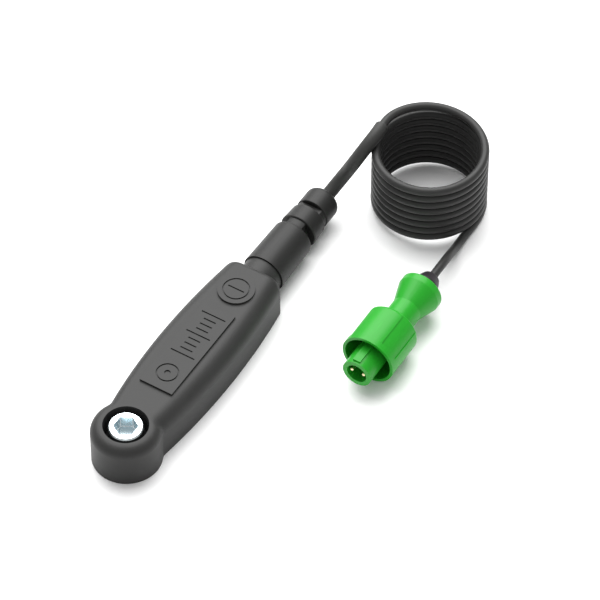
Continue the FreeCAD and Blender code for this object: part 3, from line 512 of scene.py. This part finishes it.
class PROBE_OT_stage(ProbeOperator, bpy.types.Operator):
    """Add the floor, the studio light and the camera"""
    bl_idname = "probe.stage"
    bl_label = "Stage"

    def execute(self, context):
        stage = context.scene.probe_stage
        context.scene.view_settings.view_transform = "Standard"
        world = bpy.data.worlds.new("studio")
        context.scene.world = world
        world.use_nodes = True
        backdrop = world.node_tree.nodes["Background"]
        backdrop.inputs["Color"].default_value = (1.0, 1.0, 1.0, 1.0)
        backdrop.inputs["Strength"].default_value = stage.sky
        self.add_floor(context, stage)
        self.add_light("key_softbox", (0.55, 0.38, 0.95), 1.3, stage.key_power)
        self.add_light("fill_softbox", (-0.8, -0.5, 0.35), 0.6, stage.fill_power)
        self.add_camera(context, stage)
        return {"FINISHED"}

    @staticmethod
    def add_floor(context, stage):
        half, drop = 3.0, -0.00002
        corners = [(-half, -half, drop), (half, -half, drop), (half, half, drop),
                   (-half, half, drop)]
        mesh = bpy.data.meshes.new("floor")
        mesh.from_pydata(corners, [], [(0, 1, 2, 3)])
        floor = bpy.data.objects.new("floor", mesh)
        context.scene.collection.objects.link(floor)
        mesh.materials.append(moulded("floor_paper", stage.floor, 0.9, grain=0.002,
                                      relief=0.02, gain=1.01))

    @staticmethod
    def add_light(name, place, width, power):
        """Adds a square softbox that faces the middle of the probe."""
        lamp = bpy.data.lights.new(name, "AREA")
        lamp.shape = "SQUARE"
        lamp.size = width
        lamp.energy = power
        light = bpy.data.objects.new(name, lamp)
        light.location = place
        aim = Vector((0.06, -0.01, 0.0)) - Vector(place)
        light.rotation_euler = aim.to_track_quat("-Z", "Y").to_euler()
        bpy.context.scene.collection.objects.link(light)

    @staticmethod
    def add_camera(context, stage):
        turn, rise = stage.heading, stage.elevation
        look = Vector((math.sin(turn) * math.cos(rise), math.cos(turn) * math.cos(rise),
                       -math.sin(rise)))
        right = Vector((math.cos(turn), -math.sin(turn), 0.0))
        target = Vector((0.073379, -0.011205, 0.0))
        lens = bpy.data.cameras.new("camera")
        lens.lens = stage.lens
        lens.sensor_width = 36.0
        lens.clip_start = 0.01
        camera = bpy.data.objects.new("camera", lens)
        axes = Matrix((right, right.cross(look), -look)).transposed().to_4x4()
        camera.matrix_world = Matrix.Translation(target - look * stage.distance) @ axes
        context.scene.collection.objects.link(camera)
        context.scene.camera = camera


class PROBE_OT_cable(ProbeOperator, bpy.types.Operator):
    """Lay the cable from the boot through the coil to the plug, with its sleeve"""
    bl_idname = "probe.cable"
    bl_label = "Cable"

    def execute(self, context):
        cable, colours = context.scene.probe_cable, context.scene.probe_colours
        jacket = moulded("cable_jacket", colours.jacket, 0.42, grain=0.00012, relief=0.2)
        cord = self.lay_cord(cable, jacket)
        sleeve = self.fit_sleeve(cable, cord, colours)
        return {"FINISHED"}

    @staticmethod
    def coil_points(cable):
        """Control points of the turns, from the top one down.

        They lie a little outside the turns, because the line cuts the corners.
        """
        sweep = 2 * math.pi * cable.turns - cable.start_angle
        count = round(sweep * cable.points_per_turn / (2 * math.pi))
        outward = 1.0 / math.cos(sweep / count / 2)
        points = []
        for number in range(count + 1):
            angle = cable.start_angle + sweep * number / count
            ease = max(0.0, 1.0 - angle / cable.flare_angle) ** 2
            radius = (cable.coil_radius + cable.flare * ease) * outward
            height = cable.coil_top - cable.coil_pitch * angle / (2 * math.pi) + cable.lift * ease
            points.append((cable.coil_x + radius * math.sin(angle),
                           cable.coil_y + radius * math.cos(angle), height))
        return points

    def lay_cord(self, cable, jacket):
        """Makes the cable as one smooth line, in the place of its CAD solids."""
        lead = [tuple(value * MM for value in point) for point in LEAD_ROUTE]
        tail = [tuple(value * MM for value in point) for point in TAIL_ROUTE]
        points = lead + self.coil_points(cable) + tail
        line = bpy.data.curves.new("cable", "CURVE")
        line.dimensions = "3D"
        spline = line.splines.new("NURBS")
        spline.points.add(len(points) - 1)
        for point, place in zip(spline.points, points):
            point.co = (*place, 1.0)
        spline.order_u = 3
        spline.use_endpoint_u = True
        spline.resolution_u = 5
        line.bevel_depth = cable.diameter / 2
        line.bevel_resolution = 6
        line.use_fill_caps = True
        cord = new_object("cable", line, "probe", jacket)
        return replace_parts(cord, "cable_lead", "cable_coil", "cable_tail")

    @staticmethod
    def fit_sleeve(cable, cord, colours):
        """Makes the sleeve: straight inside the boot, then along the cable."""
        points = cut_to_length(line_points(cord), cable.sleeve_length)
        start, steps = Vector((SLEEVE_START_X, 0.0, points[0].z)), 6
        points = [start.lerp(points[0], step / steps) for step in range(steps)] + points
        slack, lip = 0.00005, 0.00025
        outer = cable.sleeve_diameter / 2
        inner = cable.diameter / 2 + slack
        last = len(points) - 1
        profile = [(0, 0.0, inner), (0, 0.0, outer)]
        profile += [(index, 0.0, outer) for index in range(1, last)]
        profile += [(last, -lip * (1 - math.sin(turn)), outer - lip * (1 - math.cos(turn)))
                    for turn in (0.0, 0.4, 0.8, 1.2, math.pi / 2)]
        profile += [(last, 0.0, inner + lip * 0.4), (last, -lip, inner)]
        profile += [(index, 0.0, inner) for index in range(last - 1, 0, -1)]
        mesh = tube_mesh("cable_sleeve_skin", points, profile)
        rubber = moulded("sleeve_rubber", colours.sleeve, 0.5, grain=0.00015, relief=0.25)
        sleeve = new_object("sleeve", mesh, "probe", rubber)
        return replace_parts(sleeve, "cable_sleeve")


class PROBE_OT_housing(ProbeOperator, bpy.types.Operator):
    """Finish the shell, the cover and the sealant"""
    bl_idname = "probe.housing"
    bl_label = "Housing"

    def execute(self, context):
        colours = context.scene.probe_colours
        paint("upper_housing", moulded("housing_plastic", colours.housing, 0.48,
                                       grain=0.00022, relief=0.3, scratches=0.25))
        paint("base_cover", moulded("cover_plastic", colours.housing, 0.55, grain=0.0003,
                                    relief=0.3, gain=1.6))
        paint("cover_seal", moulded("sealant", colours.boot, 0.35, grain=0.0006, relief=0.4))
        return {"FINISHED"}


class PROBE_OT_fastener(ProbeOperator, bpy.types.Operator):
    """Finish the sleeve nut, the washer and the bush"""
    bl_idname = "probe.fastener"
    bl_label = "Fastener"

    def execute(self, context):
        colours = context.scene.probe_colours
        # The nut's socket gets painted shade inside and painted highlights on its edges.
        paint("sleeve_nut", turned("bright_steel", colours.steel, 0.22, relief=0.03,
                                   socket=colours.socket))
        # The washer's near-black colour and low specular are painted shade for the gap round the
        # head.
        paint("washer", moulded("washer_painted_shade", colours.washer, 0.75, grain=0.0001,
                                Specular_IOR_Level=0.1))
        paint("compression_bush", turned("bush_steel", shade(colours.steel, 0.7), 0.4))
        return {"FINISHED"}


class PROBE_OT_electronics(ProbeOperator, bpy.types.Operator):
    """Finish the board, the sensing coil and the wires inside"""
    bl_idname = "probe.electronics"
    bl_label = "Electronics"

    def execute(self, context):
        finishes = {
            "circuit_board": moulded("solder_mask", (0.02, 0.16, 0.06), 0.3, grain=0.0008),
            "ferrite_core": moulded("ferrite", (0.06, 0.06, 0.065), 0.6, grain=0.0002),
            "coil_bobbin": moulded("nylon", (0.55, 0.5, 0.38), 0.5, grain=0.0004),
            "sensing_winding": turned("copper_winding", (0.72, 0.33, 0.16), 0.35, 0.0003, 0.8),
            "amplifier_chip": moulded("chip_epoxy", (0.03, 0.03, 0.032), 0.5),
            "surface_components": moulded("component_ceramic", (0.35, 0.27, 0.18), 0.45),
            "filter_capacitor": turned("capacitor_can", (0.75, 0.76, 0.78), 0.3),
            "potting_fill": moulded("potting_resin", (0.05, 0.045, 0.04), 0.25, grain=0.001),
            "inner_cable": moulded("inner_jacket", (0.04, 0.04, 0.04), 0.45),
            "housing_crimp": turned("crimp_brass", (0.75, 0.58, 0.28), 0.35),
            "signal_wire": moulded("red_insulation", (0.5, 0.03, 0.02), 0.4),
            "ground_wire": moulded("white_insulation", (0.7, 0.7, 0.68), 0.4),
            "spigot_seal": moulded("seal_rubber", (0.03, 0.03, 0.03), 0.55),
        }
        for node, material in finishes.items():
            paint(node, material)
        return {"FINISHED"}


class PROBE_OT_boot(ProbeOperator, bpy.types.Operator):
    """Finish the strain relief boot"""
    bl_idname = "probe.boot"
    bl_label = "Strain Relief Boot"

    def execute(self, context):
        colours = context.scene.probe_colours
        paint("strain_relief_boot", moulded("boot_rubber", colours.boot, 0.46,
                                            grain=0.0002, relief=0.25))
        return {"FINISHED"}


class PROBE_OT_plug(ProbeOperator, bpy.types.Operator):
    """Finish the plug, its ring, its pins and its grommet"""
    bl_idname = "probe.plug"
    bl_label = "Plug"

    def execute(self, context):
        colours = context.scene.probe_colours
        green = moulded("plug_plastic", colours.plug, 0.34, grain=0.00025, relief=0.08,
                        gain=1.12, drift=0.05, scratches=0.2)
        for node in ("plug_shell", "plug_insulator", "coupling_ring"):
            paint(node, green)
        paint("plug_grommet", moulded("grommet_rubber", colours.grommet, 0.42, grain=0.0002))
        gold = turned("gold_plate", colours.gold, 0.22)
        for node in ("contact_pin_1", "contact_pin_2"):
            paint(node, gold)
        paint("ring_retainer", turned("clip_steel", shade(colours.steel, 0.7), 0.35))
        paint("plug_seal", moulded("gasket_rubber", (0.03, 0.03, 0.03), 0.5))
        paint("plug_conductors", moulded("wire_insulation", (0.6, 0.6, 0.58), 0.4))
        paint("plug_cable", moulded("plug_jacket", colours.jacket, 0.45))
        paint("plug_crimp", turned("plug_crimp_brass", (0.75, 0.58, 0.28), 0.35))
        return {"FINISHED"}


class PROBE_PT_panel(bpy.types.Panel):
    bl_idname = "PROBE_PT_panel"
    bl_label = "Sensor Probe"
    bl_space_type = "VIEW_3D"
    bl_region_type = "UI"
    bl_category = "Probe"

    def draw(self, context):
        column = self.layout.column(align=True)
        for operator in OPERATORS:
            column.operator(operator.bl_idname)
        for settings in (context.scene.probe_colours, context.scene.probe_cable,
                         context.scene.probe_stage):
            column.separator()
            for name in settings.__annotations__:
                column.prop(settings, name)


SETTINGS = {"probe_colours": ProbeColours, "probe_cable": ProbeCable,
            "probe_stage": ProbeStage}
OPERATORS = (PROBE_OT_stage, PROBE_OT_cable, PROBE_OT_housing, PROBE_OT_fastener,
             PROBE_OT_electronics, PROBE_OT_boot, PROBE_OT_plug)


def register():
    for item in (*SETTINGS.values(), *OPERATORS, PROBE_PT_panel):
        bpy.utils.register_class(item)
    for name, kind in SETTINGS.items():
        setattr(bpy.types.Scene, name, PointerProperty(type=kind))


def unregister():
    for name in SETTINGS:
        delattr(bpy.types.Scene, name)
    for item in reversed((*SETTINGS.values(), *OPERATORS, PROBE_PT_panel)):
        bpy.utils.unregister_class(item)


def main():
    register()
    for operator in OPERATORS:
        family, name = operator.bl_idname.split(".")
        getattr(getattr(bpy.ops, family), name)()


if __name__ == "__main__":
    main()
